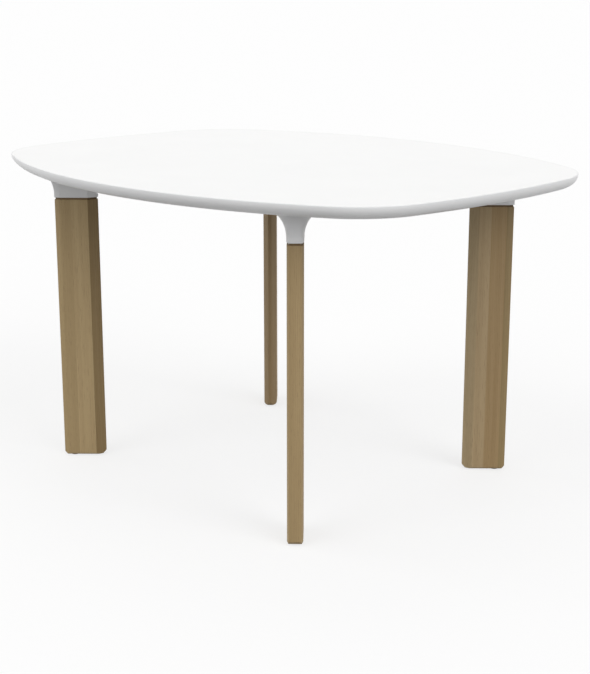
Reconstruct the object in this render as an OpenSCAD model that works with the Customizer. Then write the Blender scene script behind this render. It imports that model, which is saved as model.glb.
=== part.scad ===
// Dining table with a soft rounded white top on four solid oak blade legs.
// Each leg stands on the diagonal and meets the top in a flared cast bracket.
// Origin on the floor under the middle of the table, X along its length, Z up.

/* [Table] */
// Overall length, between the arrises of the two ends
table_length = 1300; // [1200:10:1500]
// Overall width, between the arrises of the two long sides
table_width = 1030; // [960:5:1200]
// Height of the top surface above the floor
table_height = 730; // [700:5:780]

/* [Top outline] */
// Radius of the two long sides, seen from above
side_radius = 1125; // [1000:1:1400]
// Radius of the two ends, seen from above
end_radius = 1600; // [1400:2:2400]
// Radius of the four corners, seen from above
corner_radius = 205; // [140:1:240]

/* [Top build-up] */
// Thickness of the finished top
top_thickness = 28; // [26:1:36]
// Thickness of the white laminate on the upper face
laminate_thickness = 1; // [0.6:0.1:1.5]
// Thickness of the balancing sheet on the lower face
sheet_thickness = 1; // [0.6:0.1:1.5]
// Gap left for glue round the core, laminate and sheet
glue_gap = 0.1; // [0.05:0.05:0.2]

/* [Moulded edge] */
// Width of the edge moulding, from arris to core
edge_width = 38; // [34:1:50]
// How far the rounded underside runs in from the arris
edge_undercut = 32; // [20:1:33]
// Height of the upright land below the arris
edge_land = 2; // [1.5:0.5:5]
// Chamfer that takes the sharpness off the arris
arris_ease = 0.6; // [0.3:0.1:0.8]
// Width of the lip that closes the laminate
lip_width = 2.4; // [1.6:0.2:4]
// Length of the tongue that enters the core
tongue_length = 10; // [6:1:14]
// Thickness of the tongue
tongue_thickness = 8; // [5:0.5:10]

/* [Leg] */
// Distance from the end of the table to the middle of a leg
leg_inset_end = 278; // [260:1:300]
// Distance from the side of the table to the middle of a leg
leg_inset_side = 204; // [195:0.5:230]
// Angle between the blade and the length of the table
blade_angle = 45; // [40:1:50]
// Width of the oak blade
blade_width = 100; // [96:1:120]
// Thickness of the oak blade
blade_thickness = 34; // [32:1:42]
// Chamfer at the outer end, measured along the blade
outer_chamfer_along = 13; // [8:1:18]
// Chamfer at the outer end, measured across the blade
outer_chamfer_across = 4; // [2:0.5:6]
// Bevel at the inner end, measured along the blade
inner_bevel_along = 22; // [16:1:28]
// Bevel at the inner end, measured across the blade
inner_bevel_across = 13; // [9:0.5:13.5]
// Rounding of the blade's long arrises
leg_arris = 1.5; // [0.8:0.1:2]
// Chamfer at the foot, on the two ends
foot_chamfer_end = 7; // [3:1:9]
// Chamfer at the foot, on the two broad faces
foot_chamfer_face = 3.5; // [2:0.5:5]

/* [Tenon] */
// Width of the tenon on top of the leg
tenon_width = 72; // [66:1:76]
// Thickness of the tenon
tenon_thickness = 18; // [16:0.5:20]
// Height of the tenon above the blade's shoulder
tenon_height = 48; // [44:1:50]
// Clearance between the tenon and its socket, all round
tenon_clearance = 0.3; // [0.1:0.05:0.5]

/* [Bracket] */
// Height of the bracket, from its lower rim to the underside of the top
bracket_height = 64.5; // [60:0.5:72]
// Height of the dark gap between bracket and wood
shadow_gap = 4.5; // [2:0.5:5]
// Depth of the dark gap, from the blade's faces to the leg's neck
shadow_depth = 2.5; // [1.5:0.5:3]
// How far the bracket stands proud of the blade
bracket_proud = 0.75; // [0.25:0.25:1.5]
// Rounding of the bracket's arrises at its foot
bracket_arris = 3; // [2:0.25:4]
// Chamfer round the bracket's lower rim
rim_chamfer = 0.8; // [0.4:0.1:1.2]
// How far the flare spreads out under the top
flare_spread = 38; // [26:1:42]
// Height of the flare
flare_height = 55; // [40:1:56]
// Thickness of the flange's edge against the top
flange_edge = 2; // [1.5:0.5:3]
// Thickness of the web that the top screws pull on
web_thickness = 8; // [6:0.5:10]

/* [Top screws] */
// Distance between the screws in one bracket
screw_pitch = 24; // [20:1:26]
// Diameter of the screw shank
screw_diameter = 6; // [5:0.5:7]
// Diameter of the screw head
screw_head_diameter = 12; // [10:0.5:13]
// Height of the screw head
screw_head_height = 3.6; // [3:0.2:5]
// Length of the screw below its head
screw_length = 20; // [18:1:24]
// Outer diameter of the threaded insert in the core
core_insert_diameter = 10; // [9:0.5:12]
// Length of the threaded insert in the core
core_insert_length = 14; // [12:1:18]

/* [Leg bolts] */
// Height of the lower bolt above the leg's shoulder
bolt_height = 16; // [14:1:18]
// Distance between the two bolts in one leg
bolt_pitch = 18; // [16:1:19]
// Diameter of the bolt shank
bolt_diameter = 8; // [6:0.5:8]
// Diameter of the bolt's flat head
bolt_head_diameter = 13; // [12:0.5:14]
// Height of the bolt's flat head
bolt_head_height = 5; // [4:0.5:6]
// Metal between the bolt head and the tenon's socket
bolt_seat = 7.5; // [6:0.5:9]
// Length of the bolt below its head
bolt_length = 24; // [20:1:26]
// Outer diameter of the threaded insert in the tenon
tenon_insert_diameter = 12; // [10:0.5:13]
// Length of the threaded insert in the tenon
tenon_insert_length = 18; // [16:1:20]

/* [Glide] */
// Diameter of the glide under each leg
glide_diameter = 20; // [18:1:24]
// Height of the glide below the wood
glide_height = 2.5; // [2:0.5:4]
// Distance of the glide from the middle of the blade
glide_offset = 27; // [20:1:28]
// Diameter of the glide's spigot
spigot_diameter = 9; // [8:0.5:11]
// Length of the glide's spigot
spigot_length = 5; // [4:0.5:8]
// Diameter of the glide screw's shank
glide_screw_diameter = 3.5; // [3:0.25:4]
// Length of the glide screw, head included
glide_screw_length = 22; // [18:1:30]
// Diameter of the glide screw's head
glide_screw_head = 7; // [6:0.25:7.5]
// How far the glide screw's head stays above the floor
glide_screw_recess = 0.6; // [0.4:0.1:1]

/* [Hidden] */

// Roundness of bores and turned pieces
bore_fn = 48;
// Running clearance of a shank in its bore, and of an insert in its hole
fit_clearance = 0.1;
// Overlap that keeps a cut from ending on a face
cut = 1;

// The four corners, by their sides of the table
front_left = [-1, -1];
front_right = [1, -1];
back_left = [-1, 1];
back_right = [1, 1];

underside_z = table_height - top_thickness;
shoulder_z = underside_z - bracket_height - shadow_gap;
leg_centre = [table_length / 2 - leg_inset_end, table_width / 2 - leg_inset_side];
core_bottom_z = underside_z + sheet_thickness;
core_top_z = table_height - laminate_thickness;
tongue_z = (top_thickness - tongue_thickness) / 2;

// Steps along each arc of the outline, and round the edge's underside
side_steps = 24;
end_steps = 8;
corner_steps = 16;
undercut_steps = 9;

// Centres of the side, end and corner arcs in the first quadrant
side_centre = [0, table_width / 2 - side_radius];
end_centre = [table_length / 2 - end_radius, 0];
side_reach = side_radius - corner_radius;
end_reach = end_radius - corner_radius;
centre_line = end_centre - side_centre;
centre_distance = norm(centre_line);
centre_dir = centre_line / centre_distance;
foot_along = (side_reach * side_reach - end_reach * end_reach + centre_distance * centre_distance)
    / (2 * centre_distance);
foot_across = sqrt(side_reach * side_reach - foot_along * foot_along);
corner_centre = side_centre + centre_dir * foot_along + [centre_dir.y, -centre_dir.x] * foot_across;
side_angle = atan2(corner_centre.y - side_centre.y, corner_centre.x - side_centre.x);
end_angle = atan2(corner_centre.y - end_centre.y, corner_centre.x - end_centre.x);

// The eight arcs of the outline: centre, radius, start angle, sweep, steps
corner_sweep = side_angle - end_angle;
side_sweep = 180 - 2 * side_angle;
outline_arcs = [
    [end_centre, end_radius, -end_angle, 2 * end_angle, end_steps],
    [corner_centre, corner_radius, end_angle, corner_sweep, corner_steps],
    [side_centre, side_radius, side_angle, side_sweep, side_steps],
    [[-corner_centre.x, corner_centre.y], corner_radius, 180 - side_angle, corner_sweep, corner_steps],
    [-end_centre, end_radius, 180 - end_angle, 2 * end_angle, end_steps],
    [-corner_centre, corner_radius, 180 + end_angle, corner_sweep, corner_steps],
    [-side_centre, side_radius, 180 + side_angle, side_sweep, side_steps],
    [[corner_centre.x, -corner_centre.y], corner_radius, -side_angle, corner_sweep, corner_steps]
];

// Points on the outline of the top, moved in by an inset
function outline(inset) = [
    for (arc = outline_arcs)
        for (step = [0 : arc[4] - 1])
            let (angle = arc[2] + arc[3] * step / arc[4])
                arc[0] + (arc[1] - inset) * [cos(angle), sin(angle)]
];

// Cross-section of the moulded edge: inset from the arris, height above the underside
undercut_height = top_thickness - edge_land;
tongue_tip = edge_width + tongue_length;
edge_section = concat(
    [[lip_width, top_thickness], [arris_ease, top_thickness], [0, top_thickness - arris_ease]],
    [
        for (step = [0 : undercut_steps])
            let (angle = 90 * step / undercut_steps)
                [edge_undercut * (1 - cos(angle)), undercut_height * (1 - sin(angle))]
    ],
    [
        [edge_width, 0],
        [edge_width, tongue_z],
        [tongue_tip, tongue_z],
        [tongue_tip, tongue_z + tongue_thickness],
        [edge_width, tongue_z + tongue_thickness],
        [edge_width, top_thickness - laminate_thickness],
        [lip_width, top_thickness - laminate_thickness]
    ]
);

// Section of the blade, outer end towards +X: a chamfered end and a bevelled one
half_width = blade_width / 2;
half_thickness = blade_thickness / 2;
blade_corners = [
    [half_width, -half_thickness + outer_chamfer_across],
    [half_width, half_thickness - outer_chamfer_across],
    [half_width - outer_chamfer_along, half_thickness],
    [-half_width + inner_bevel_along, half_thickness],
    [-half_width, half_thickness - inner_bevel_across],
    [-half_width, -half_thickness + inner_bevel_across],
    [-half_width + inner_bevel_along, -half_thickness],
    [half_width - outer_chamfer_along, -half_thickness]
];
arris_steps = 3;

function edge_normal(from, to) = let (run = (to - from) / norm(to - from)) [run.y, -run.x];

// The blade's section with rounded corners, grown outwards evenly
function blade_section(radius, grow) = [
    for (i = [0 : len(blade_corners) - 1])
        let (
            corner = blade_corners[i],
            before = edge_normal(blade_corners[(i + len(blade_corners) - 1) % len(blade_corners)], corner),
            after = edge_normal(corner, blade_corners[(i + 1) % len(blade_corners)]),
            centre = corner - radius * (before + after) / (1 + before * after),
            start = atan2(before.y, before.x),
            turn = acos(before * after)
        )
            for (step = [0 : arris_steps])
                let (angle = start + turn * step / arris_steps)
                    centre + (radius + grow) * [cos(angle), sin(angle)]
];

// Heights and growth of the bracket's rings, from its lower rim to its flange
bracket_z = underside_z - bracket_height;
flare_z = underside_z - flange_edge - flare_height;
flare_steps = 12;
bracket_rings = concat(
    [[bracket_z, bracket_proud - rim_chamfer], [bracket_z + rim_chamfer, bracket_proud]],
    [
        for (step = [0 : flare_steps])
            let (angle = 90 * step / flare_steps)
                [flare_z + flare_height * sin(angle), bracket_proud + flare_spread * (1 - cos(angle))]
    ],
    [[underside_z, bracket_proud + flare_spread]]
);

core_insert_depth = 0.5;
socket_width = tenon_width + 2 * tenon_clearance;
socket_thickness = tenon_thickness + 2 * tenon_clearance;
web_z = underside_z - web_thickness;
core_insert_z = underside_z + core_insert_depth;
core_insert_bore_top = core_insert_z + core_insert_length + cut;
bolt_heights = [shoulder_z + bolt_height, shoulder_z + bolt_height + bolt_pitch];
bolt_seat_x = -socket_width / 2 - bolt_seat;
screw_places = [-screw_pitch, 0, screw_pitch];
tenon_insert_depth = 1;
hex_key_size = 5;
hex_key_depth = 2.4;

// Stands what follows at one corner, with the blade's outer end pointing away
module at_corner(side) {
    translate([side.x * leg_centre.x, side.y * leg_centre.y, 0])
        rotate(atan2(side.y * sin(blade_angle), side.x * cos(blade_angle)))
            children();
}

// An upright bar with round ends
module stadium(width, thickness, height) {
    linear_extrude(height)
        union() {
            square([width - thickness, thickness], center = true);
            for (end = [-1, 1])
                translate([end * (width - thickness) / 2, 0])
                    circle(d = thickness, $fn = bore_fn);
        }
}

// A cylinder that lies along +X from a point
module bar_x(x, z, diameter, length) {
    translate([x, 0, z])
        rotate([0, 90, 0])
            cylinder(d = diameter, h = length, $fn = bore_fn);
}

// The triangles between one ring of points and the next
function band(from, to, count) = [
    for (i = [0 : count - 1])
        let (
            low = from * count + i,
            low_next = from * count + (i + 1) % count,
            high = to * count + i,
            high_next = to * count + (i + 1) % count
        )
            each [[low, high, high_next], [low, high_next, low_next]]
];

// A solid lofted through rings that lie one above the other, closed at both ends
module loft(rings) {
    count = len(rings[0]);
    last = len(rings) - 1;
    polyhedron(
        points = [for (ring = rings) each ring],
        faces = concat(
            [[for (i = [0 : count - 1]) i]],
            [for (level = [0 : last - 1]) each band(level, level + 1, count)],
            [[for (i = [count - 1 : -1 : 0]) last * count + i]]
        )
    );
}

// A section swept once round the outline of the top: points of inset and height
module sweep_round(section) {
    loops = [for (p = section) outline(p.x)];
    stations = len(loops[0]);
    polyhedron(
        points = [
            for (station = [0 : stations - 1])
                for (j = [0 : len(section) - 1])
                    [loops[j][station].x, loops[j][station].y, section[j].y]
        ],
        faces = [
            for (station = [0 : stations - 1])
                each band(station, (station + 1) % stations, len(section))
        ]
    );
}

// White laminate, let in flush with the edge's lip
module top_laminate() {
    color("white")
        translate([0, 0, core_top_z])
            linear_extrude(laminate_thickness)
                polygon(outline(lip_width + glue_gap));
}

// Core board, grooved for the tongue and bored for the inserts
module top_core() {
    groove_low = underside_z + tongue_z - glue_gap;
    groove_high = underside_z + tongue_z + tongue_thickness + glue_gap;
    color("burlywood")
        difference() {
            union() {
                core_layer(core_bottom_z, groove_low, edge_width + glue_gap);
                core_layer(groove_low, groove_high, tongue_tip + glue_gap);
                core_layer(groove_high, core_top_z - glue_gap, edge_width + glue_gap);
            }
            for (side = [front_left, front_right, back_left, back_right])
                at_corner(side)
                    insert_bores(core_bottom_z - cut, core_insert_bore_top);
        }
}

module core_layer(from, to, inset) {
    translate([0, 0, from])
        linear_extrude(to - from)
            polygon(outline(inset));
}

module insert_bores(from, to) {
    for (x = screw_places)
        translate([x, 0, from])
            cylinder(d = core_insert_diameter + fit_clearance, h = to - from, $fn = bore_fn);
}

// Cast white edge with an elliptical underside, its tongue let into the core
module top_edge() {
    color("white")
        translate([0, 0, underside_z])
            sweep_round(edge_section);
}

// White sheet under the core, which keeps the top flat
module balancing_sheet() {
    color("whitesmoke")
        difference() {
            core_layer(underside_z, core_bottom_z, edge_width + glue_gap);
            for (side = [front_left, front_right, back_left, back_right])
                at_corner(side)
                    insert_bores(underside_z - cut, core_bottom_z + cut);
        }
}

// One oak blade with its foot chamfers, the neck that carries the bracket, its tenon and its bores
module leg(side) {
    wood_height = shoulder_z - glide_height;
    color("tan")
        at_corner(side)
            difference() {
                union() {
                    intersection() {
                        translate([0, 0, glide_height])
                            linear_extrude(wood_height)
                                polygon(blade_section(leg_arris, 0));
                        rotate([90, 0, 0])
                            linear_extrude(2 * blade_thickness, center = true)
                                polygon(foot_profile(half_width, foot_chamfer_end));
                        rotate([90, 0, 90])
                            linear_extrude(2 * blade_width, center = true)
                                polygon(foot_profile(half_thickness, foot_chamfer_face));
                    }
                    translate([0, 0, shoulder_z - cut])
                        linear_extrude(shadow_gap + cut)
                            polygon(blade_section(leg_arris + shadow_depth, -shadow_depth));
                    translate([0, 0, shoulder_z - cut])
                        stadium(tenon_width, tenon_thickness, tenon_height + cut);
                }
                for (z = bolt_heights)
                    bar_x(-tenon_width / 2 - cut, z, tenon_insert_diameter + fit_clearance,
                        tenon_insert_length + tenon_insert_depth + 2 * cut);
                translate([glide_offset, 0, glide_height - cut])
                    cylinder(d = spigot_diameter + fit_clearance, h = spigot_length + 2 * cut, $fn = bore_fn);
                translate([glide_offset, 0, glide_height])
                    cylinder(d = glide_screw_diameter + fit_clearance, h = glide_screw_length, $fn = bore_fn);
            }
}

// Outline of the blade seen from one side, cut off at the lower corners
function foot_profile(half, chamfer) = [
    [-half - cut, shoulder_z + cut],
    [-half - cut, glide_height + chamfer + cut],
    [-half + chamfer, glide_height],
    [half - chamfer, glide_height],
    [half + cut, glide_height + chamfer + cut],
    [half + cut, shoulder_z + cut]
];

// Cast bracket: a lofted flare with a socket for the tenon
module bracket(side) {
    color("gainsboro")
        at_corner(side)
            difference() {
                loft([
                    for (ring = bracket_rings)
                        [for (p = blade_section(bracket_arris, ring[1])) [p.x, p.y, ring[0]]]
                ]);
                translate([0, 0, bracket_z - cut])
                    stadium(socket_width, socket_thickness, web_z - bracket_z + cut);
                for (x = screw_places)
                    translate([x, 0, web_z - cut])
                        cylinder(d = screw_diameter + 2 * fit_clearance, h = web_thickness + 2 * cut,
                            $fn = bore_fn);
                for (z = bolt_heights) {
                    bar_x(bolt_seat_x - cut, z, bolt_diameter + 2 * fit_clearance,
                        bolt_seat + socket_thickness);
                    bar_x(bolt_seat_x - flare_spread, z, bolt_head_diameter + 4 * fit_clearance,
                        flare_spread);
                }
            }
}

// Screws that hold one bracket to the top
module top_screws(side) {
    color("silver")
        at_corner(side)
            for (x = screw_places)
                translate([x, 0, web_z])
                    difference() {
                        union() {
                            cylinder(d = screw_diameter, h = screw_length, $fn = bore_fn);
                            translate([0, 0, -screw_head_height])
                                cylinder(d = screw_head_diameter, h = screw_head_height, $fn = bore_fn);
                        }
                        translate([0, 0, -screw_head_height - cut])
                            cylinder(d = hex_key_size, h = hex_key_depth + cut, $fn = 6);
                    }
}

// Threaded inserts in the core for one bracket's screws
module core_inserts(side) {
    color("goldenrod")
        at_corner(side)
            for (x = screw_places)
                translate([x, 0, core_insert_z])
                    difference() {
                        cylinder(d = core_insert_diameter, h = core_insert_length, $fn = bore_fn);
                        translate([0, 0, -cut])
                            cylinder(d = screw_diameter + fit_clearance, h = core_insert_length + 2 * cut,
                                $fn = bore_fn);
                    }
}

// Flat-headed bolts that draw one tenon against its socket
module leg_bolts(side) {
    color("silver")
        at_corner(side)
            for (z = bolt_heights)
                difference() {
                    union() {
                        bar_x(bolt_seat_x, z, bolt_diameter, bolt_length);
                        bar_x(bolt_seat_x - bolt_head_height, z, bolt_head_diameter, bolt_head_height);
                    }
                    translate([bolt_seat_x - bolt_head_height - cut, 0, z])
                        rotate([0, 90, 0])
                            cylinder(d = hex_key_size, h = hex_key_depth + cut, $fn = 6);
                }
}

// Threaded inserts in one tenon
module leg_inserts(side) {
    color("goldenrod")
        at_corner(side)
            for (z = bolt_heights)
                difference() {
                    bar_x(-tenon_width / 2 + tenon_insert_depth, z, tenon_insert_diameter, tenon_insert_length);
                    bar_x(-tenon_width / 2, z, bolt_diameter + fit_clearance,
                        tenon_insert_length + 2 * cut);
                }
}

// Turned nylon glide with a spigot and a countersunk screw hole
module glide(side) {
    rim = glide_diameter / 2;
    ease = glide_height / 4;
    countersink = glide_screw_head / 2 + fit_clearance;
    bore = glide_screw_diameter / 2 + fit_clearance;
    head_top = glide_screw_recess + countersink - bore;
    color("dimgray")
        at_corner(side)
            translate([glide_offset, 0, 0])
                rotate_extrude($fn = bore_fn)
                    polygon([
                        [countersink, 0],
                        [rim - ease, 0],
                        [rim, ease],
                        [rim, glide_height],
                        [spigot_diameter / 2, glide_height],
                        [spigot_diameter / 2, glide_height + spigot_length],
                        [bore, glide_height + spigot_length],
                        [bore, head_top],
                        [countersink, glide_screw_recess]
                    ]);
}

// Countersunk wood screw that holds one glide
module glide_screw(side) {
    head = glide_screw_head / 2;
    shank = glide_screw_diameter / 2;
    point = glide_screw_diameter;
    color("silver")
        at_corner(side)
            translate([glide_offset, 0, glide_screw_recess])
                rotate_extrude($fn = bore_fn)
                    polygon([
                        [0, 0],
                        [head, 0],
                        [shank, head - shank],
                        [shank, glide_screw_length - point],
                        [0, glide_screw_length]
                    ]);
}

top_laminate();
top_core();
top_edge();
balancing_sheet();
leg(front_left);  // leg_front_left
leg(front_right);  // leg_front_right
leg(back_left);  // leg_back_left
leg(back_right);  // leg_back_right
bracket(front_left);  // bracket_front_left
bracket(front_right);  // bracket_front_right
bracket(back_left);  // bracket_back_left
bracket(back_right);  // bracket_back_right
top_screws(front_left);  // top_screws_front_left
top_screws(front_right);  // top_screws_front_right
top_screws(back_left);  // top_screws_back_left
top_screws(back_right);  // top_screws_back_right
core_inserts(front_left);  // core_inserts_front_left
core_inserts(front_right);  // core_inserts_front_right
core_inserts(back_left);  // core_inserts_back_left
core_inserts(back_right);  // core_inserts_back_right
leg_bolts(front_left);  // leg_bolts_front_left
leg_bolts(front_right);  // leg_bolts_front_right
leg_bolts(back_left);  // leg_bolts_back_left
leg_bolts(back_right);  // leg_bolts_back_right
leg_inserts(front_left);  // leg_inserts_front_left
leg_inserts(front_right);  // leg_inserts_front_right
leg_inserts(back_left);  // leg_inserts_back_left
leg_inserts(back_right);  // leg_inserts_back_right
glide(front_left);  // glide_front_left
glide(front_right);  // glide_front_right
glide(back_left);  // glide_back_left
glide(back_right);  // glide_back_right
glide_screw(front_left);  // glide_screw_front_left
glide_screw(front_right);  // glide_screw_front_right
glide_screw(back_left);  // glide_screw_back_left
glide_screw(back_right);  // glide_screw_back_right
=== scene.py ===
"""Looks of the dining table: white rounded top, cast brackets, solid oak blade legs."""

import math

import bmesh
import bpy
from mathutils import Matrix, Vector


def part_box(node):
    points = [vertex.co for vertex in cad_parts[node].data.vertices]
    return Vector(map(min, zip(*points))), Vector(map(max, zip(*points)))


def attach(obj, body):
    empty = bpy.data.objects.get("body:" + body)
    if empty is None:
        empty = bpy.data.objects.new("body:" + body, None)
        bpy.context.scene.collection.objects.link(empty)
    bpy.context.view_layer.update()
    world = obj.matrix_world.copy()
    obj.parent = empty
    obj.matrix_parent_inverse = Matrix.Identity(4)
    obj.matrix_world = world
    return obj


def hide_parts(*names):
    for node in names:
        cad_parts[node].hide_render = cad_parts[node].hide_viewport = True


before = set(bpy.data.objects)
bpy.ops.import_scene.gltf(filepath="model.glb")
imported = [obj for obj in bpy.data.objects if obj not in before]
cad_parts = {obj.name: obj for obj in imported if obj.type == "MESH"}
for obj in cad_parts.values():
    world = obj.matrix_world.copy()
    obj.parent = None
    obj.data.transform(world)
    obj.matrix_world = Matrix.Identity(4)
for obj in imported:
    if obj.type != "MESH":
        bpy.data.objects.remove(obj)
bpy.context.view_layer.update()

bl_info = {
    "name": "Dining Table",
    "version": (1, 0, 0),
    "blender": (4, 5, 0),
    "location": "View3D > Sidebar > Table",
    "description": "Builds the finish of a dining table around its construction model",
    "category": "Object",
}

BODY = "root"
MM = 0.001
# The corners of the table, and the way to each from its middle
CORNERS = {
    "front_left": Vector((-1, -1)),
    "front_right": Vector((1, -1)),
    "back_left": Vector((-1, 1)),
    "back_right": Vector((1, 1)),
}

# Room round the tenon in its socket, and round a bolt's head in its counterbore
TENON_CLEARANCE = 0.3 * MM
BOLT_CLEARANCE = 0.2 * MM
# A bolt's head is what reaches beyond this share of its full radius
HEAD_SHARE = 0.9
# How far a solid runs on into the one that it joins or cuts
OVERLAP = MM
MERGE_DISTANCE = 0.01 * MM
SMOOTH_ANGLE = math.radians(32)

# How finely the curves are cut
ROUND_SEGMENTS = 48
SWEEP_DEGREES = 1.5
EDGE_ARRIS_STEPS = 4
UNDERCUT_STEPS = 28
LEG_ARRIS_STEPS = 3
BRACKET_ARRIS_STEPS = 6
RIM_STEPS = 4
FLARE_STEPS = 26


class Stave:
    """One board of a leg: where its pith lay, its tint (the board's own tone together with painted
    shade), and the glue line where it starts.
    """

    def __init__(self, pith_x, pith_y, tint_and_shade, glue_line=None):
        self.pith = {"X": pith_x, "Y": pith_y}
        self.tint_and_shade = tint_and_shade
        self.glue_line = glue_line


# The staves glued into each leg, from its inner end to its outer one. Places are in metres from the
# middle of the blade. Each tint is partly the board's own tone and partly painted shade, darkening
# the bevels and ends that little light reaches.
STAVES = {
    "front_left": (
        Stave(-0.19, 0.09, (0.69, 0.67, 0.58)),
        Stave(0.22, -0.13, (1.10, 1.13, 1.10), glue_line=-0.028),
        Stave(-0.26, -0.10, (1.01, 1.03, 0.98), glue_line=0.012),
    ),
    "front_right": (
        Stave(0.19, -0.12, (0.94, 0.93, 0.90)),
        Stave(-0.24, -0.16, (0.86, 0.85, 0.80), glue_line=-0.016),
        Stave(0.17, 0.12, (0.87, 0.87, 0.81), glue_line=0.022),
    ),
    "back_left": (
        Stave(-0.17, 0.13, (0.75, 0.73, 0.69)),
        Stave(0.20, 0.11, (0.92, 0.92, 0.90), glue_line=-0.026),
        Stave(-0.22, -0.14, (0.98, 0.97, 0.96), glue_line=0.014),
    ),
    "back_right": (
        Stave(0.21, -0.16, (1.03, 1.09, 1.16)),
        Stave(-0.25, -0.13, (0.97, 1.00, 1.05), glue_line=-0.028),
        Stave(0.16, 0.15, (0.83, 0.80, 0.74), glue_line=-0.001),
        Stave(-0.18, 0.10, (0.66, 0.66, 0.58), glue_line=0.034),
    ),
}
# How far the pattern moves from leg to leg and from stave to stave, and by how many years
LEG_SHIFT = 1.7
STAVE_SHIFT = 0.43
STAVE_YEARS = 50.0

# Painted shade along each leg: the tone of its wood at its foot and at its shoulder, against its
# mean, darker up under the top
WOOD_PAINTED_SHADE = {
    "front_left": (1.06, 0.95),
    "front_right": (1.08, 0.93),
    "back_left": (1.10, 0.91),
    "back_right": (1.16, 0.87),
}
# Painted shade on a leg's neck, darkening it in the gap under the bracket, and how far above the
# shoulder it starts
NECK_PAINTED_SHADE = (0.50, 0.47, 0.45)
NECK_SHADE_EDGE = 0.05 * MM

# Growth rings: their width, how far they wander, and how far they lean in a metre of height
RING_WIDTH = 2.5 * MM
RING_WANDER = 9 * MM
RING_LEAN = 4 * MM
# How dark the oak is from the start of a year's ring to its end
RING_TONE = (0.42, 0.12)
# How much each feature darkens it, from its least to its most
YEAR_TONE = (-0.08, 0.10)
STREAK_TONE = (-0.10, 0.16)
FIBRE_TONE = (-0.08, 0.08)
SWEEP_TONE = (-0.05, 0.22)
# Up to where in a ring the pores are dense, where they have thinned out, and what is left there
PORES_FULL = 0.10
PORES_THINNED = 0.42
PORES_LEFT = 0.12
# The noise values across a pore's soft edge, and how strongly the pores show
VESSEL_EDGE = (0.57, 0.66)
PORE_COVER = 0.62
# How upright a face points where it starts to show end grain and where it is all end grain
END_GRAIN_EDGE = (0.85, 0.95)
END_GRAIN_COVER = 0.75
# How high the fibres stand, against the depth of the pores
FIBRE_RELIEF = 0.3
OAK_ROUGHNESS = (0.50, 0.62)


class Noise:
    """A noise pattern. The smaller the number along Z, the longer it is drawn out there."""

    def __init__(self, scale, detail, roughness=0.5, along=1.0):
        self.scale = scale
        self.detail = detail
        self.roughness = roughness
        self.along = along


# The patterns in the oak, then those of the other finishes
OAK_SWEEP = Noise(16.0, 3.0, along=0.12)
OAK_STREAKS = Noise(95.0, 3.0, 0.55, along=0.030)
OAK_FIBRES = Noise(520.0, 4.0, 0.65, along=0.010)
OAK_VESSELS = Noise(1350.0, 2.0, along=0.035)
CLOUDS = Noise(6.0, 3.0)
SMUDGES = Noise(18.0, 3.0, 0.6)
PATINA = Noise(90.0, 3.0, 0.6)
MACHINING_MARKS = Noise(900.0, 3.0, 0.6)
SCUFFS = Noise(160.0, 4.0, 0.7)
# The values between which a noise mostly stays
NOISE_LOW = 0.3
NOISE_HIGH = 0.7

# The metals, and the share of their colour that is left under patina
ZINC = (0.60, 0.61, 0.63)
BRASS = (0.72, 0.55, 0.28)
PATINA_SHADE = 0.85
# The particles of the core board: how fine they are, how soft their edges, and their colours
FLAKE_SCALE = 420.0
FLAKE_EDGE = 0.8
FLAKE_DARK = (0.52, 0.38, 0.24)
FLAKE_PALE = (0.70, 0.56, 0.38)
NYLON = (0.018, 0.016, 0.016)
NYLON_SCUFFED = (0.05, 0.046, 0.045)
NYLON_ROUGHNESS = (0.42, 0.60)

# Broad lamps: degrees above the floor, degrees round from +X, strength
LAMPS = {
    "lamp_high_left": (50, -100, 0.60),
    "lamp_high_right": (50, 10, 0.40),
    "lamp_low_left": (12, -95, 0.43),
    "lamp_low_right": (25, 0, 1.18),
    "lamp_low_far_left": (20, -150, 0.62),
    "lamp_behind": (60, 135, 0.30),
}
LAMP_SPREAD = math.radians(40)
WHITE = (1.0, 1.0, 1.0)
# The floor as the camera sees it: its white under the lamps, and the share that glows by itself
FLOOR_WHITE = (0.93, 0.93, 0.93)
FLOOR_GLOW = 0.72
FLOOR_REACH = 60.0
SENSOR_MM = 36.0


# Sizes that the frame gives

def leg_centre(corner):
    """The middle of a leg's blade: the three top screws stand evenly about it."""
    low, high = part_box("top_screws_" + corner)
    middle = (low + high) / 2
    return Vector((middle.x, middle.y, 0))


def leg_turn(corner, blade_angle):
    """The angle from +X to the outer end of a leg's blade."""
    side = CORNERS[corner]
    return math.atan2(side.y * math.sin(blade_angle), side.x * math.cos(blade_angle))


def corner_matrix(corner, blade_angle):
    """From a leg's own axes, +X towards its outer end, to the table's."""
    turn = Matrix.Rotation(leg_turn(corner, blade_angle), 4, "Z")
    return Matrix.Translation(leg_centre(corner)) @ turn


def bolt_seats(corner, matrix):
    """The radius of a leg's two bolt heads, and where each bears on the bracket."""
    back = matrix.inverted()
    points = [back @ vert.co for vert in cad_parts["leg_bolts_" + corner].data.vertices]
    radius = max(point.y for point in points)
    low = min(point.z for point in points)
    high = max(point.z for point in points)
    seat_x = max(point.x for point in points if abs(point.y) > HEAD_SHARE * radius)
    return radius, [Vector((seat_x, 0, low + radius)), Vector((seat_x, 0, high - radius))]


# Properties

def length(name, description, default):
    return bpy.props.FloatProperty(
        name=name, description=description, default=default, unit="LENGTH", precision=4
    )


def angle(name, description, degrees):
    return bpy.props.FloatProperty(
        name=name, description=description, default=math.radians(degrees), subtype="ANGLE"
    )


def colour(name, description, default):
    return bpy.props.FloatVectorProperty(
        name=name, description=description, default=default, subtype="COLOR", size=3, min=0, max=1
    )


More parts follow.
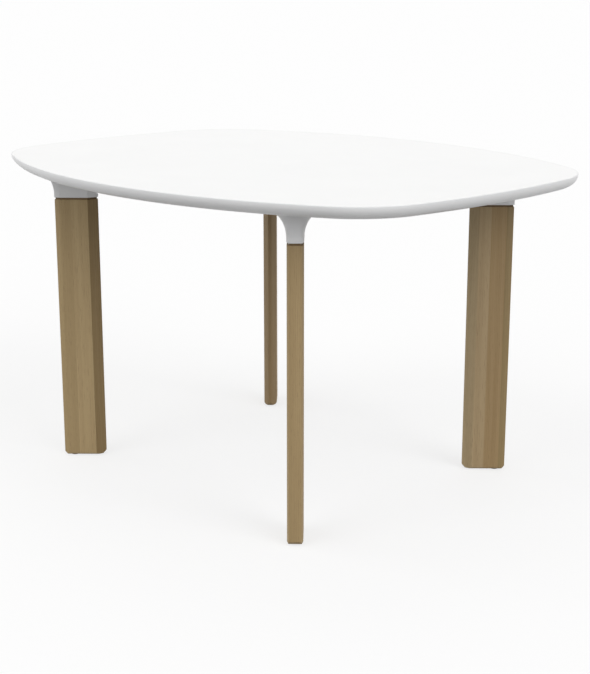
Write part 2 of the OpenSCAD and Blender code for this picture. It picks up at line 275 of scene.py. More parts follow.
class TableTopProperties(bpy.types.PropertyGroup):
    side_radius: length("Side radius", "Radius of the two long sides, seen from above", 1.125)
    end_radius: length("End radius", "Radius of the two ends, seen from above", 1.600)
    corner_radius: length("Corner radius", "Radius of the four corners, seen from above", 0.205)
    undercut: length("Undercut", "How far the rounded underside runs in from the arris", 0.032)
    land: length("Land", "Height of the upright land below the arris", 0.002)
    arris: length("Arris", "Rounding of the upper arris", 0.0008)
    lip: length("Lip", "Width of the lip that closes the laminate", 0.0024)
    width: length("Edge width", "Width of the edge moulding, from arris to core", 0.038)
    tongue: length("Tongue length", "Length of the tongue that enters the core", 0.010)
    tongue_height: length("Tongue thickness", "Thickness of the tongue", 0.008)
    laminate_colour: colour("Laminate", "Colour of the white laminate", (0.89, 0.89, 0.885))
    edge_colour: colour("Edge", "Colour of the moulded edge", (0.83, 0.832, 0.836))


class TableLegProperties(bpy.types.PropertyGroup):
    blade_angle: angle("Blade angle", "Angle between the blade and the table's length", 45)
    blade_width: length("Blade width", "Width of the oak blade", 0.100)
    blade_thickness: length("Blade thickness", "Thickness of the oak blade", 0.034)
    outer_along: length("Outer chamfer along", "Outer chamfer, measured along the blade", 0.013)
    outer_across: length("Outer chamfer across", "Outer chamfer, measured across the blade", 0.004)
    inner_along: length("Inner bevel along", "Inner bevel, measured along the blade", 0.022)
    inner_across: length("Inner bevel across", "Inner bevel, measured across the blade", 0.013)
    arris: length("Arris", "Easing of the blade's long arrises", 0.0012)
    foot_end: length("Foot chamfer, ends", "Chamfer at the foot on the two ends", 0.007)
    foot_face: length("Foot chamfer, faces", "Chamfer at the foot on the broad faces", 0.0035)
    neck_height: length("Neck height", "Height of the gap between wood and bracket", 0.0045)
    neck_depth: length("Neck depth", "How far the neck lies in from the blade", 0.0025)
    tenon_width: length("Tenon width", "Width of the tenon on top of the leg", 0.072)
    tenon_thickness: length("Tenon thickness", "Thickness of the tenon", 0.018)
    oak_light: colour("Pale wood", "Pale colour of the oak", (0.46, 0.335, 0.185))
    oak_dark: colour("Dark wood", "Dark colour of the oak", (0.33, 0.225, 0.115))
    oak_pore: colour("Pores", "Colour of the oak's open pores", (0.17, 0.105, 0.055))


class TableBracketProperties(bpy.types.PropertyGroup):
    proud: length("Proud", "How far the bracket stands proud of the blade", 0.00075)
    arris: length("Arris", "Rounding of the bracket's arrises at its foot", 0.0018)
    rim: length("Rim", "Rounding of the bracket's lower rim", 0.0008)
    flare_spread: length("Flare spread", "How far the flare spreads out under the top", 0.038)
    flare_height: length("Flare height", "Height of the flare", 0.055)
    flange_edge: length("Flange edge", "Thickness of the flange's edge against the top", 0.002)
    web: length("Web", "Thickness of the web that the top screws pass through", 0.008)
    colour: colour("Powder coat", "Colour of the bracket's coating", (0.76, 0.762, 0.766))


class TableStageProperties(bpy.types.PropertyGroup):
    camera_distance: length("Camera distance", "From the table's middle, over the floor", 3.2800)
    camera_height: length("Camera height", "Height of the camera above the floor", 1.1640)
    camera_azimuth: angle("Camera azimuth", "Where it stands, turned from -Y towards +X", 46.6928)
    camera_aim: angle("Camera aim", "How far it looks to the side of the table's middle", -0.5701)
    camera_tilt: angle("Camera tilt", "How far the camera looks down", 14.6027)
    focal_length: bpy.props.FloatProperty(
        name="Focal length",
        description="Focal length for a sensor 36 mm along the picture's long side",
        default=76.117,
        unit="CAMERA",
    )
    sky: bpy.props.FloatProperty(
        name="Sky", description="Strength of the even white light all round", default=0.45
    )
    lamps: bpy.props.FloatProperty(
        name="Lamps", description="Strength of all the broad lamps together", default=1.0
    )
    floor_colour: colour("Floor", "Colour of the floor, as it lights the table", (0.30, 0.30, 0.30))


# Modelling steps

def quarter_turn(steps, first=0):
    """The angles of a quarter circle, cut evenly."""
    return [math.pi / 2 * step / steps for step in range(first, steps + 1)]


def check_closed(name, mesh):
    """Stops the build at a mesh that a boolean could not take as a solid."""
    if not mesh.faces or any(len(edge.link_faces) != 2 for edge in mesh.edges):
        raise RuntimeError(name + " is not a closed solid")


def extrude_up(mesh, face, rise):
    """Extrudes a face and returns the new upper one. In a loft only the first face stays."""
    grown = bmesh.ops.extrude_face_region(mesh, geom=[face, *face.edges])["geom"]
    verts = [part for part in grown if isinstance(part, bmesh.types.BMVert)]
    bmesh.ops.translate(mesh, vec=(0, 0, rise), verts=verts)
    return next(part for part in grown if isinstance(part, bmesh.types.BMFace))


def turn_up(face):
    """Points a flat face's normal upwards."""
    face.normal_update()
    if face.normal.z < 0:
        face.normal_flip()


def grow_face(face, distance):
    """Moves every side of a flat face outwards by the same distance."""
    moves = {}
    for loop in face.loops:
        before = (loop.vert.co - loop.link_loop_prev.vert.co).normalized()
        after = (loop.link_loop_next.vert.co - loop.vert.co).normalized()
        normals = [run.cross(face.normal) for run in (before, after)]
        moves[loop.vert] = (normals[0] + normals[1]) / (1 + normals[0].dot(normals[1]))
    for vert, move in moves.items():
        vert.co += move * distance


def saw(mesh, point, normal):
    """Cuts away what lies beyond a plane and closes the cut."""
    parts = mesh.verts[:] + mesh.edges[:] + mesh.faces[:]
    cut = bmesh.ops.bisect_plane(
        mesh, geom=parts, plane_co=point, plane_no=normal, clear_outer=True, dist=MERGE_DISTANCE
    )
    edges = [part for part in cut["geom_cut"] if isinstance(part, bmesh.types.BMEdge)]
    bmesh.ops.contextual_create(mesh, geom=edges)


def mesh_object(name, mesh):
    """Makes an object of a mesh and frees the mesh."""
    data = bpy.data.meshes.new(name)
    mesh.to_mesh(data)
    mesh.free()
    thing = bpy.data.objects.new(name, data)
    bpy.context.scene.collection.objects.link(thing)
    return thing


def join_solids(body, tool, operation):
    """Joins two meshes by a boolean, frees both and returns the result."""
    check_closed("a boolean's tool", tool)
    first = mesh_object("boolean_body", body)
    second = mesh_object("boolean_tool", tool)
    modifier = first.modifiers.new("join", "BOOLEAN")
    modifier.operation = operation
    modifier.solver = "EXACT"
    modifier.object = second
    result = bmesh.new()
    result.from_object(first, bpy.context.evaluated_depsgraph_get())
    for thing in (first, second):
        data = thing.data
        bpy.data.objects.remove(thing)
        bpy.data.meshes.remove(data)
    if not result.faces:
        raise RuntimeError("a boolean left an empty mesh")
    return result


def stadium_mesh(width, thickness, low, high):
    """An upright bar with round ends."""
    mesh = bmesh.new()
    half_step = Matrix.Rotation(math.pi / ROUND_SEGMENTS, 4, "Z")
    bmesh.ops.create_circle(
        mesh,
        cap_ends=True,
        segments=ROUND_SEGMENTS,
        radius=thickness / 2,
        matrix=Matrix.Translation((0, 0, low)) @ half_step,
    )
    for way in (-1, 1):
        half = [vert for vert in mesh.verts if vert.co.x * way > 0]
        bmesh.ops.translate(mesh, vec=(way * (width - thickness) / 2, 0, 0), verts=half)
    extrude_up(mesh, mesh.faces[:][0], high - low)
    bmesh.ops.recalc_face_normals(mesh, faces=mesh.faces)
    return mesh


def rod_mesh(radius, start, end):
    """A round bar between two points."""
    run = end - start
    turn = Vector((0, 0, 1)).rotation_difference(run.normalized()).to_matrix().to_4x4()
    mesh = bmesh.new()
    bmesh.ops.create_cone(
        mesh,
        cap_ends=True,
        segments=ROUND_SEGMENTS,
        radius1=radius,
        radius2=radius,
        depth=run.length,
        matrix=Matrix.Translation((start + end) / 2) @ turn,
    )
    return mesh


# The moulded edge

def outline_arcs(top):
    """The eight arcs of the outline, anticlockwise: centre, radius, start, sweep."""
    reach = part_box("top_edge")[1]
    side = Vector((0, reach.y - top.side_radius))
    end = Vector((reach.x - top.end_radius, 0))
    side_reach = top.side_radius - top.corner_radius
    end_reach = top.end_radius - top.corner_radius
    line = end - side
    along = (side_reach**2 - end_reach**2 + line.length_squared) / (2 * line.length)
    across = math.sqrt(side_reach**2 - along**2)
    unit = line.normalized()
    corner = side + unit * along + Vector((unit.y, -unit.x)) * across
    side_angle = math.atan2(corner.y - side.y, corner.x - side.x)
    end_angle = math.atan2(corner.y - end.y, corner.x - end.x)
    quarter = side_angle - end_angle
    wide = math.pi - 2 * side_angle
    mirrored = Vector((-corner.x, corner.y))
    return [
        (end, top.end_radius, -end_angle, 2 * end_angle),
        (corner, top.corner_radius, end_angle, quarter),
        (side, top.side_radius, side_angle, wide),
        (mirrored, top.corner_radius, math.pi - side_angle, quarter),
        (-end, top.end_radius, math.pi - end_angle, 2 * end_angle),
        (-corner, top.corner_radius, math.pi + end_angle, quarter),
        (-side, top.side_radius, math.pi + side_angle, wide),
        (-mirrored, top.corner_radius, -side_angle, quarter),
    ]


def edge_section(top):
    """The moulding's closed section: inset from the arris and height, lip first."""
    low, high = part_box("top_edge")
    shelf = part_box("top_laminate")[0].z
    middle = (low.z + high.z) / 2
    undercut_top = high.z - top.land
    points = [(top.lip, high.z)]
    for turn in quarter_turn(EDGE_ARRIS_STEPS):
        inset = top.arris * (1 - math.sin(turn))
        points.append((inset, high.z - top.arris * (1 - math.cos(turn))))
    for turn in quarter_turn(UNDERCUT_STEPS):
        depth = (undercut_top - low.z) * math.sin(turn)
        points.append((top.undercut * (1 - math.cos(turn)), undercut_top - depth))
    tip = top.width + top.tongue
    points += [
        (top.width, low.z),
        (top.width, middle - top.tongue_height / 2),
        (tip, middle - top.tongue_height / 2),
        (tip, middle + top.tongue_height / 2),
        (top.width, middle + top.tongue_height / 2),
        (top.width, shelf),
        (top.lip, shelf),
    ]
    return points


def edge_mesh(top):
    """Spins the moulding's section round each arc of the outline in turn."""
    arcs = outline_arcs(top)
    centre, radius, start, _ = arcs[0]
    direction = Vector((math.cos(start), math.sin(start)))
    mesh = bmesh.new()
    verts = []
    for inset, height in edge_section(top):
        place = centre + direction * (radius - inset)
        verts.append(mesh.verts.new((place.x, place.y, height)))
    ring = [mesh.edges.new((verts[i - 1], verts[i])) for i in range(len(verts))]
    for centre, _, _, sweep in arcs:
        spun = bmesh.ops.spin(
            mesh,
            geom=ring,
            cent=(centre.x, centre.y, 0),
            axis=(0, 0, 1),
            angle=sweep,
            steps=math.ceil(math.degrees(sweep) / SWEEP_DEGREES),
            use_merge=False,
            use_duplicate=False,
        )
        ring = [part for part in spun["geom_last"] if isinstance(part, bmesh.types.BMEdge)]
    bmesh.ops.remove_doubles(mesh, verts=mesh.verts, dist=MERGE_DISTANCE)
    bmesh.ops.recalc_face_normals(mesh, faces=mesh.faces)
    return mesh


# The legs

def blade_face(mesh, leg, height):
    """The blade's flat section as one face, outer end towards +X."""
    half = leg.blade_width / 2
    side = leg.blade_thickness / 2
    right = [
        (half, side - leg.outer_across),
        (half - leg.outer_along, side),
        (-half + leg.inner_along, side),
        (-half, side - leg.inner_across),
    ]
    left = [(x, -y) for x, y in reversed(right)]
    return mesh.faces.new([mesh.verts.new((x, y, height)) for x, y in right + left])


def blade_mesh(leg, foot_z, shoulder_z):
    """One blade with its foot chamfers sawn and its arrises eased."""
    mesh = bmesh.new()
    face = blade_face(mesh, leg, foot_z)
    extrude_up(mesh, face, shoulder_z - foot_z)
    bmesh.ops.recalc_face_normals(mesh, faces=mesh.faces)
    half = leg.blade_width / 2
    side = leg.blade_thickness / 2
    for way in (-1, 1):
        saw(mesh, (way * (half - leg.foot_end), 0, foot_z), (way, 0, -1))
        saw(mesh, (0, way * (side - leg.foot_face), foot_z), (0, way, -1))
    bmesh.ops.bevel(
        mesh,
        geom=mesh.edges[:],
        offset=leg.arris,
        offset_type="OFFSET",
        segments=LEG_ARRIS_STEPS,
        profile=0.5,
        affect="EDGES",
        material=-1,
        clamp_overlap=True,
    )
    bmesh.ops.recalc_face_normals(mesh, faces=mesh.faces)
    check_closed("a leg's blade", mesh)
    return mesh


def neck_mesh(leg, low, high):
    """The neck that stands on the blade and carries the bracket, seen in the dark gap."""
    mesh = bmesh.new()
    face = blade_face(mesh, leg, low)
    turn_up(face)
    grow_face(face, -leg.neck_depth)
    extrude_up(mesh, face, high - low)
    bmesh.ops.recalc_face_normals(mesh, faces=mesh.faces)
    return mesh


def leg_mesh(leg, foot_z, shoulder_z, rim_z, tenon_z):
    """A whole leg: the blade, the neck up to the bracket's rim and the tenon."""
    root = shoulder_z - OVERLAP
    mesh = blade_mesh(leg, foot_z, shoulder_z)
    mesh = join_solids(mesh, neck_mesh(leg, root, rim_z), "UNION")
    tenon = stadium_mesh(leg.tenon_width, leg.tenon_thickness, root, tenon_z)
    return join_solids(mesh, tenon, "UNION")


# The brackets

def raise_ring(mesh, face, rise, grow):
    """Extrudes the upper face of a loft and grows it evenly."""
    upper = extrude_up(mesh, face, rise)
    upper.normal_update()
    grow_face(upper, grow)
    return upper


def flare_rings(bracket, low, high):
    """Height and growth of each ring of the bracket's outside, from its rim to its flange."""
    rings = []
    for turn in quarter_turn(RIM_STEPS, first=1):
        grow = bracket.proud - bracket.rim * (1 - math.sin(turn))
        rings.append((low + bracket.rim * (1 - math.cos(turn)), grow))
    flare_low = high - bracket.flange_edge - bracket.flare_height
    for turn in quarter_turn(FLARE_STEPS):
        grow = bracket.proud + bracket.flare_spread * (1 - math.cos(turn))
        rings.append((flare_low + bracket.flare_height * math.sin(turn), grow))
    rings.append((high, bracket.proud + bracket.flare_spread))
    return rings


def bracket_shell(leg, bracket, low, high):
    """The bracket's flared outside, lofted ring by ring from its lower rim."""
    mesh = bmesh.new()
    face = blade_face(mesh, leg, low)
    bmesh.ops.bevel(
        mesh,
        geom=face.verts[:],
        offset=bracket.arris,
        offset_type="OFFSET",
        segments=BRACKET_ARRIS_STEPS,
        profile=0.5,
        affect="VERTICES",
        material=-1,
    )
    face = mesh.faces[:][0]
    turn_up(face)
    last_height, last_grow = low, bracket.proud - bracket.rim
    grow_face(face, last_grow)
    for height, grow in flare_rings(bracket, low, high):
        face = raise_ring(mesh, face, height - last_height, grow - last_grow)
        last_height, last_grow = height, grow
    bmesh.ops.recalc_face_normals(mesh, faces=mesh.faces)
    check_closed("a bracket's flare", mesh)
    return mesh


def bracket_mesh(leg, bracket, low, high, bolts):
    """A whole bracket: its flare, with the tenon's socket and the bolts' counterbores cut in."""
    mesh = bracket_shell(leg, bracket, low, high)
    width = leg.tenon_width + 2 * TENON_CLEARANCE
    thickness = leg.tenon_thickness + 2 * TENON_CLEARANCE
    socket = stadium_mesh(width, thickness, low - OVERLAP, high - bracket.web)
    mesh = join_solids(mesh, socket, "DIFFERENCE")
    radius, seats = bolts
    for seat in seats:
        outside = seat - Vector((bracket.flare_spread, 0, 0))
        counterbore = rod_mesh(radius + BOLT_CLEARANCE, outside, seat)
        mesh = join_solids(mesh, counterbore, "DIFFERENCE")
    return mesh


# Finishing a piece

def finish_piece(name, mesh, material, replaced):
    """Makes the object, shades it, hangs it on the body and hides the CAD parts that it replaces.
    """
    mesh.normal_update()
    piece = mesh_object(name, mesh)
    piece.data.materials.append(material)
    piece.data.shade_smooth()
    piece.data.set_sharp_from_angle(angle=SMOOTH_ANGLE)
    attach(piece, BODY)
    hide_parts(*replaced)


def dress_node(node, material):
    """Gives a CAD node that stays its own material."""
    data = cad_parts[node].data
    data.materials.clear()
    data.materials.append(material)


# Materials

def rgba(values):
    return (*values[:3], 1.0)


class Recipe:
    """A material or world under construction, with short calls to add and link its nodes."""

    def __init__(self, owner, output="ShaderNodeOutputMaterial"):
        self.owner = owner
        owner.use_nodes = True
        self.tree = owner.node_tree
        self.tree.nodes.clear()
        self.output = self.add(output)

    def add(self, kind, inputs=None, **settings):
        node = self.tree.nodes.new(kind)
        for key, value in settings.items():
            setattr(node, key, value)
        for key, value in (inputs or {}).items():
            if isinstance(value, bpy.types.NodeSocket):
                self.tree.links.new(value, node.inputs[key])
            else:
                node.inputs[key].default_value = value
        return node

    def math(self, operation, *values):
        return self.add("ShaderNodeMath", dict(enumerate(values)), operation=operation).outputs[0]

    def place(self, matrix=None):
        """Object coordinates, or with a matrix those of a piece's own axes."""
        coordinates = self.add("ShaderNodeTexCoord").outputs["Object"]
        if matrix is None:
            return coordinates
        local = matrix.inverted()
        return self.add(
            "ShaderNodeMapping",
            {"Vector": coordinates, "Location": local.translation, "Rotation": local.to_euler()},
        ).outputs[0]

    def axes(self, vector):
        return self.add("ShaderNodeSeparateXYZ", {"Vector": vector}).outputs

    def noise(self, vector, pattern):
        if pattern.along != 1.0:
            stretch = {"Vector": vector, "Scale": (1, 1, pattern.along)}
            vector = self.add("ShaderNodeMapping", stretch).outputs[0]
        inputs = {
            "Vector": vector,
            "Scale": pattern.scale,
            "Detail": pattern.detail,
            "Roughness": pattern.roughness,
        }
        return self.add("ShaderNodeTexNoise", inputs).outputs["Fac"]

    def range(self, value, low, high, to_low=0.0, to_high=1.0):
        inputs = {
            "Value": value,
            "From Min": low,
            "From Max": high,
            "To Min": to_low,
            "To Max": to_high,
        }
        return self.add("ShaderNodeMapRange", inputs, clamp=True).outputs[0]

    def spread(self, noise, low=0.0, high=1.0):
        """Widens a noise to a range of its own."""
        return self.range(noise, NOISE_LOW, NOISE_HIGH, low, high)

    def mix(self, factor, first, second, blend_type="MIX"):
        """Mixes two colours, each given as a socket or as plain values."""
        inputs = {0: factor}
        for index, value in ((6, first), (7, second)):
            inputs[index] = value if isinstance(value, bpy.types.NodeSocket) else rgba(value)
        settings = {"data_type": "RGBA", "blend_type": blend_type}
        return self.add("ShaderNodeMix", inputs, **settings).outputs[2]

    def bump(self, height, strength, distance):
        inputs = {"Height": height, "Strength": strength, "Distance": distance}
        return self.add("ShaderNodeBump", inputs).outputs[0]

    def blend(self, factor, first, second):
        """Mixes two shaders."""
        return self.add("ShaderNodeMixShader", {0: factor, 1: first, 2: second}).outputs[0]

    def seen(self):
        """1 for the rays that show the white background, 0 for those that light the table."""
        path = self.add("ShaderNodeLightPath").outputs
        either = self.math("MAXIMUM", path["Is Camera Ray"], path["Is Glossy Ray"])
        return self.math("MAXIMUM", either, path["Is Transmission Ray"])

    def finish(self, shader):
        self.tree.links.new(shader, self.output.inputs["Surface"])
        return self.owner

    def surface(self, inputs):
        return self.finish(self.add("ShaderNodeBsdfPrincipled", inputs).outputs[0])


def material_recipe(name):
    return Recipe(bpy.data.materials.new(name))


def white_finish(name, base, roughness, skin_scale, skin_depth, cloud=0.02):
    """A white coating or plastic: faint clouding, a fine skin and uneven gloss."""
    recipe = material_recipe(name)
    place = recipe.place()
    clouds = recipe.spread(recipe.noise(place, CLOUDS))
    darker = [value * (1 - cloud) for value in base]
    skin = recipe.noise(place, Noise(skin_scale, detail=4.0, roughness=0.6))
    return recipe.surface(
        {
            "Base Color": recipe.mix(clouds, darker, base),
            "Roughness": recipe.spread(recipe.noise(place, SMUDGES), *roughness),
            "Normal": recipe.bump(skin, strength=0.35, distance=skin_depth),
            "IOR": 1.48,
        }
    )


def glue_staves(recipe, corner, axes):
    """For any point of a leg, where its stave's pith lies, the stave's tint with its painted shade,
    and its number.
    """
    first, *others = STAVES[corner]
    pith = dict(first.pith)
    tint_and_shade = first.tint_and_shade
    number = 0.0
    last = first
    for stave in others:
        past = recipe.math("GREATER_THAN", axes["X"], stave.glue_line)
        number = recipe.math("ADD", number, past)
        for axis in pith:
            step = recipe.math("MULTIPLY", past, stave.pith[axis] - last.pith[axis])
            pith[axis] = recipe.math("ADD", pith[axis], step)
        tint_and_shade = recipe.mix(past, tint_and_shade, stave.tint_and_shade)
        last = stave
    return pith, tint_and_shade, number


def count_years(recipe, axes, pith, sweep):
    """How many years of growth lie between the pith and any point of a leg."""
    squares = []
    for axis, middle in pith.items():
        offset = recipe.math("SUBTRACT", axes[axis], middle)
        squares.append(recipe.math("MULTIPLY", offset, offset))
    radius = recipe.math("SQRT", recipe.math("ADD", *squares))
    radius = recipe.math("ADD", radius, recipe.math("MULTIPLY", sweep, 2 * RING_WANDER))
    radius = recipe.math("ADD", radius, recipe.math("MULTIPLY", axes["Z"], RING_LEAN))
    return recipe.math("DIVIDE", radius, RING_WIDTH)


def oak_finish(corner, leg, shoulder):
    """Solid oak glued from staves, its growth rings and pores running up the leg.

    The neck above the shoulder is darkened with painted shade.
    """
    recipe = material_recipe("oak_" + corner)
    place = recipe.place(corner_matrix(corner, leg.blade_angle))
    axes = recipe.axes(place)
    pith, tint_and_shade, number = glue_staves(recipe, corner, axes)
    shift = list(CORNERS).index(corner) * LEG_SHIFT
    shifts = {"X": shift, "Y": recipe.math("MULTIPLY", number, STAVE_SHIFT), "Z": shift}
    moved = recipe.add("ShaderNodeCombineXYZ", shifts).outputs[0]
    moved = recipe.add("ShaderNodeVectorMath", {0: place, 1: moved}, operation="ADD").outputs[0]
    sweep = recipe.noise(moved, OAK_SWEEP)
    streaks = recipe.noise(moved, OAK_STREAKS)
    fibres = recipe.noise(moved, OAK_FIBRES)

    years = count_years(recipe, axes, pith, sweep)
    ring = recipe.math("FRACT", years)
    year = recipe.math("FLOOR", years)
    year = recipe.math("ADD", year, recipe.math("MULTIPLY", number, STAVE_YEARS))
    weather = recipe.add("ShaderNodeTexWhiteNoise", {"W": year}, noise_dimensions="1D")
    tone = recipe.range(ring, 0.0, 1.0, *RING_TONE)
    for feature in (
        recipe.range(weather.outputs["Value"], 0.0, 1.0, *YEAR_TONE),
        recipe.spread(streaks, *STREAK_TONE),
        recipe.spread(fibres, *FIBRE_TONE),
        recipe.spread(sweep, *SWEEP_TONE),
    ):
        tone = recipe.math("ADD", tone, feature)
    tone = recipe.add("ShaderNodeClamp", {"Value": tone}).outputs[0]
    wood = recipe.mix(tone, leg.oak_light, leg.oak_dark)
    # Multiplies in the stave's tint: its own tone together with painted shade
    wood = recipe.mix(1.0, wood, tint_and_shade, "MULTIPLY")
    # Painted shade: the wood darkens from the foot up towards the shoulder, under the top
    painted_shade = recipe.range(axes["Z"], 0.0, shoulder, *WOOD_PAINTED_SHADE[corner])
    wood = recipe.mix(1.0, wood, painted_shade, "MULTIPLY")

    vessels = recipe.range(recipe.noise(moved, OAK_VESSELS), *VESSEL_EDGE)
    early = recipe.range(ring, PORES_FULL, PORES_THINNED, 1.0, PORES_LEFT)
    pores = recipe.math("MULTIPLY", vessels, early)
    wood = recipe.mix(recipe.math("MULTIPLY", pores, PORE_COVER), wood, leg.oak_pore)
    normal = recipe.add("ShaderNodeNewGeometry").outputs["True Normal"]
    upright = recipe.math("ABSOLUTE", recipe.axes(normal)["Z"])
    end_grain = recipe.range(upright, *END_GRAIN_EDGE, 0.0, END_GRAIN_COVER)
    wood = recipe.mix(end_grain, wood, leg.oak_pore)
    # Painted shade: the neck in the gap under the bracket is darkened
    neck = recipe.math("GREATER_THAN", axes["Z"], shoulder + NECK_SHADE_EDGE)
    wood = recipe.mix(neck, wood, recipe.mix(1.0, wood, NECK_PAINTED_SHADE, "MULTIPLY"))
    relief = recipe.math("SUBTRACT", recipe.math("MULTIPLY", fibres, FIBRE_RELIEF), pores)
    return recipe.surface(
        {
            "Base Color": wood,
            "Roughness": recipe.spread(fibres, *OAK_ROUGHNESS),
            "Normal": recipe.bump(relief, strength=0.45, distance=0.12 * MM),
            "IOR": 1.45,
            "Specular IOR Level": 0.35,
        }
    )


def metal_finish(name, base, roughness):
    """Plated or turned metal with fine machining marks."""
    recipe = material_recipe(name)
    place = recipe.place()
    marks = recipe.noise(place, MACHINING_MARKS)
    patina = recipe.noise(place, PATINA)
    darker = [value * PATINA_SHADE for value in base]
    return recipe.surface(
        {
            "Base Color": recipe.mix(recipe.spread(patina), darker, base),
            "Metallic": 1.0,
            "Roughness": recipe.spread(patina, *roughness),
            "Normal": recipe.bump(marks, strength=0.3, distance=0.05 * MM),
        }
    )


def board_finish():
    """Pressed wood particles, seen only where a bore opens the core."""
    recipe = material_recipe("core_board")
    inputs = {"Vector": recipe.place(), "Scale": FLAKE_SCALE}
    flakes = recipe.add("ShaderNodeTexVoronoi", inputs).outputs["Distance"]
    tone = recipe.range(flakes, 0.0, FLAKE_EDGE)
    return recipe.surface(
        {
            "Base Color": recipe.mix(tone, FLAKE_DARK, FLAKE_PALE),
            "Roughness": 0.85,
            "Normal": recipe.bump(flakes, strength=0.5, distance=0.2 * MM),
        }
    )


def nylon_finish():
    """Dark turned nylon, scuffed by the floor."""
    recipe = material_recipe("nylon")
    scuffs = recipe.noise(recipe.place(), SCUFFS)
    return recipe.surface(
        {
            "Base Color": recipe.mix(scuffs, NYLON, NYLON_SCUFFED),
            "Roughness": recipe.spread(scuffs, *NYLON_ROUGHNESS),
            "Normal": recipe.bump(scuffs, strength=0.3, distance=0.1 * MM),
        }
    )


def floor_finish(base):
    """A pale floor that the camera sees as white, with a light shadow left on it."""
    recipe = material_recipe("studio_floor")
    plain = recipe.add("ShaderNodeBsdfDiffuse", {"Color": rgba(base)}).outputs[0]
    white = recipe.add("ShaderNodeBsdfDiffuse", {"Color": rgba(FLOOR_WHITE)}).outputs[0]
    glow = recipe.add("ShaderNodeEmission", {"Color": rgba(WHITE), "Strength": 1.0}).outputs[0]
    above = recipe.blend(recipe.seen(), plain, recipe.blend(FLOOR_GLOW, white, glow))
    clear = recipe.add("ShaderNodeBsdfTransparent").outputs[0]
    below = recipe.add("ShaderNodeNewGeometry").outputs["Backfacing"]
    return recipe.finish(recipe.blend(below, above, clear))


def sky_finish(strength):
    """Even white light, behind a background that the camera sees as white."""
    recipe = Recipe(bpy.data.worlds.new("studio"), output="ShaderNodeOutputWorld")
    skies = [
        recipe.add("ShaderNodeBackground", {"Color": rgba(WHITE), "Strength": power}).outputs[0]
        for power in (strength, 1.0)
    ]
    return recipe.finish(recipe.blend(recipe.seen(), *skies))


# The stage

def lay_floor(base):
    mesh = bmesh.new()
    bmesh.ops.create_grid(mesh, x_segments=1, y_segments=1, size=FLOOR_REACH)
    floor = mesh_object("studio_floor", mesh)
    floor.data.materials.append(floor_finish(base))


def hang_lamps(scene, share):
    for name, (height, turn, strength) in LAMPS.items():
        lamp = bpy.data.lights.new(name, "SUN")
        lamp.energy = strength * share
        lamp.angle = LAMP_SPREAD
        thing = bpy.data.objects.new(name, lamp)
        tilt = math.pi / 2 - math.radians(height)
        thing.rotation_euler = (tilt, 0, math.pi / 2 + math.radians(turn))
        scene.collection.objects.link(thing)


def set_camera(scene, stage):
    lens = bpy.data.cameras.new("camera")
    lens.lens = stage.focal_length
    lens.sensor_width = SENSOR_MM
    camera = bpy.data.objects.new("camera", lens)
    azimuth = stage.camera_azimuth
    camera.location = (
        stage.camera_distance * math.sin(azimuth),
        -stage.camera_distance * math.cos(azimuth),
        stage.camera_height,
    )
    tilt = math.pi / 2 - stage.camera_tilt
    camera.rotation_euler = (tilt, 0, azimuth + stage.camera_aim)
    scene.collection.objects.link(camera)
    scene.camera = camera


# Operators

class TABLE_OT_stage(bpy.types.Operator):
    """Set the floor, the light and the camera"""

    bl_idname = "table.stage"
    bl_label = "Stage"

    def execute(self, context):
        scene = context.scene
        stage = scene.table_stage
        lay_floor(stage.floor_colour)
        scene.world = sky_finish(stage.sky)
        hang_lamps(scene, stage.lamps)
        set_camera(scene, stage)
        scene.view_settings.view_transform = "Standard"
        return {"FINISHED"}


class TABLE_OT_top_panel(bpy.types.Operator):
    """Finish the laminate, the balancing sheet and the core"""

    bl_idname = "table.top_panel"
    bl_label = "Top Panel"

    def execute(self, context):
        top = context.scene.table_top
        laminate = white_finish(
            "laminate",
            top.laminate_colour,
            roughness=(0.45, 0.55),
            skin_scale=2200.0,
            skin_depth=0.03 * MM,
            cloud=0.012,
        )
        sheet = white_finish(
            "balancing_sheet",
            top.edge_colour,
            roughness=(0.55, 0.65),
            skin_scale=1600.0,
            skin_depth=0.05 * MM,
        )
        dress_node("top_laminate", laminate)
        dress_node("balancing_sheet", sheet)
        dress_node("top_core", board_finish())
        return {"FINISHED"}


class TABLE_OT_top_edge(bpy.types.Operator):
    """Sweep the white moulded edge round the top"""

    bl_idname = "table.top_edge"
    bl_label = "Moulded Edge"

    def execute(self, context):
        top = context.scene.table_top
        material = white_finish(
            "moulded_edge",
            top.edge_colour,
            roughness=(0.37, 0.47),
            skin_scale=1400.0,
            skin_depth=0.04 * MM,
        )
        finish_piece("moulded_edge", edge_mesh(top), material, ["top_edge"])
        return {"FINISHED"}


class TABLE_OT_legs(bpy.types.Operator):
    """Shape the four oak legs, with their necks and tenons"""

    bl_idname = "table.legs"
    bl_label = "Oak Legs"

    def execute(self, context):
        leg = context.scene.table_legs
        for corner in CORNERS:
            node = "leg_" + corner
            low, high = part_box(node)
            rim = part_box("bracket_" + corner)[0].z
            shoulder = rim - leg.neck_height
            mesh = leg_mesh(leg, low.z, shoulder, rim, high.z)
            mesh.transform(corner_matrix(corner, leg.blade_angle))
            material = oak_finish(corner, leg, shoulder)
            finish_piece("oak_leg_" + corner, mesh, material, [node])
        return {"FINISHED"}


class TABLE_OT_brackets(bpy.types.Operator):
    """Cast the four flared brackets, with their sockets and bolt seats"""

    bl_idname = "table.brackets"
    bl_label = "Cast Brackets"

    def execute(self, context):
        leg = context.scene.table_legs
        bracket = context.scene.table_brackets
        material = white_finish(
            "powder_coat",
            bracket.colour,
            roughness=(0.35, 0.45),
            skin_scale=1100.0,
            skin_depth=0.06 * MM,
        )
        for corner in CORNERS:
            node = "bracket_" + corner
            low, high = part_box(node)
            matrix = corner_matrix(corner, leg.blade_angle)
            mesh = bracket_mesh(leg, bracket, low.z, high.z, bolt_seats(corner, matrix))
            mesh.transform(matrix)
            finish_piece("cast_bracket_" + corner, mesh, material, [node])
        return {"FINISHED"}


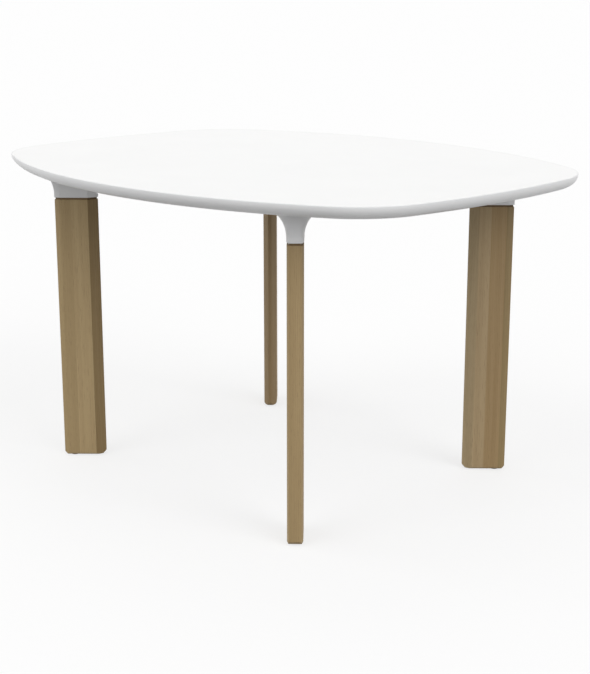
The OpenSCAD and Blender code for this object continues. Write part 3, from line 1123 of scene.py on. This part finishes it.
class TABLE_OT_fixings(bpy.types.Operator):
    """Finish the screws, bolts and threaded inserts"""

    bl_idname = "table.fixings"
    bl_label = "Fixings"

    def execute(self, context):
        zinc = metal_finish("zinc_steel", ZINC, roughness=(0.26, 0.40))
        brass = metal_finish("insert_brass", BRASS, roughness=(0.24, 0.38))
        for corner in CORNERS:
            for group in ("top_screws_", "leg_bolts_", "glide_screw_"):
                dress_node(group + corner, zinc)
            for group in ("core_inserts_", "leg_inserts_"):
                dress_node(group + corner, brass)
        return {"FINISHED"}


class TABLE_OT_glides(bpy.types.Operator):
    """Finish the four nylon glides"""

    bl_idname = "table.glides"
    bl_label = "Glides"

    def execute(self, context):
        material = nylon_finish()
        for corner in CORNERS:
            dress_node("glide_" + corner, material)
        return {"FINISHED"}


class TABLE_PT_panel(bpy.types.Panel):
    """Builds the table's pieces and the stage"""

    bl_idname = "TABLE_PT_panel"
    bl_label = "Dining Table"
    bl_space_type = "VIEW_3D"
    bl_region_type = "UI"
    bl_category = "Table"

    def draw(self, context):
        layout = self.layout
        for operator in OPERATORS:
            layout.operator(operator.bl_idname)
        for pointer in GROUPS:
            settings = getattr(context.scene, pointer)
            column = layout.column(align=True)
            for key in settings.__annotations__:
                column.prop(settings, key)


GROUPS = {
    "table_top": TableTopProperties,
    "table_legs": TableLegProperties,
    "table_brackets": TableBracketProperties,
    "table_stage": TableStageProperties,
}
OPERATORS = (
    TABLE_OT_stage,
    TABLE_OT_top_panel,
    TABLE_OT_top_edge,
    TABLE_OT_legs,
    TABLE_OT_brackets,
    TABLE_OT_fixings,
    TABLE_OT_glides,
)


def register():
    for group in GROUPS.values():
        bpy.utils.register_class(group)
    for operator in OPERATORS:
        bpy.utils.register_class(operator)
    bpy.utils.register_class(TABLE_PT_panel)
    for pointer, group in GROUPS.items():
        setattr(bpy.types.Scene, pointer, bpy.props.PointerProperty(type=group))


def unregister():
    for pointer in GROUPS:
        delattr(bpy.types.Scene, pointer)
    bpy.utils.unregister_class(TABLE_PT_panel)
    for operator in reversed(OPERATORS):
        bpy.utils.unregister_class(operator)
    for group in reversed(GROUPS.values()):
        bpy.utils.unregister_class(group)


def main():
    register()
    bpy.ops.table.stage()
    bpy.ops.table.top_panel()
    bpy.ops.table.top_edge()
    bpy.ops.table.legs()
    bpy.ops.table.brackets()
    bpy.ops.table.fixings()
    bpy.ops.table.glides()


if __name__ == "__main__":
    main()
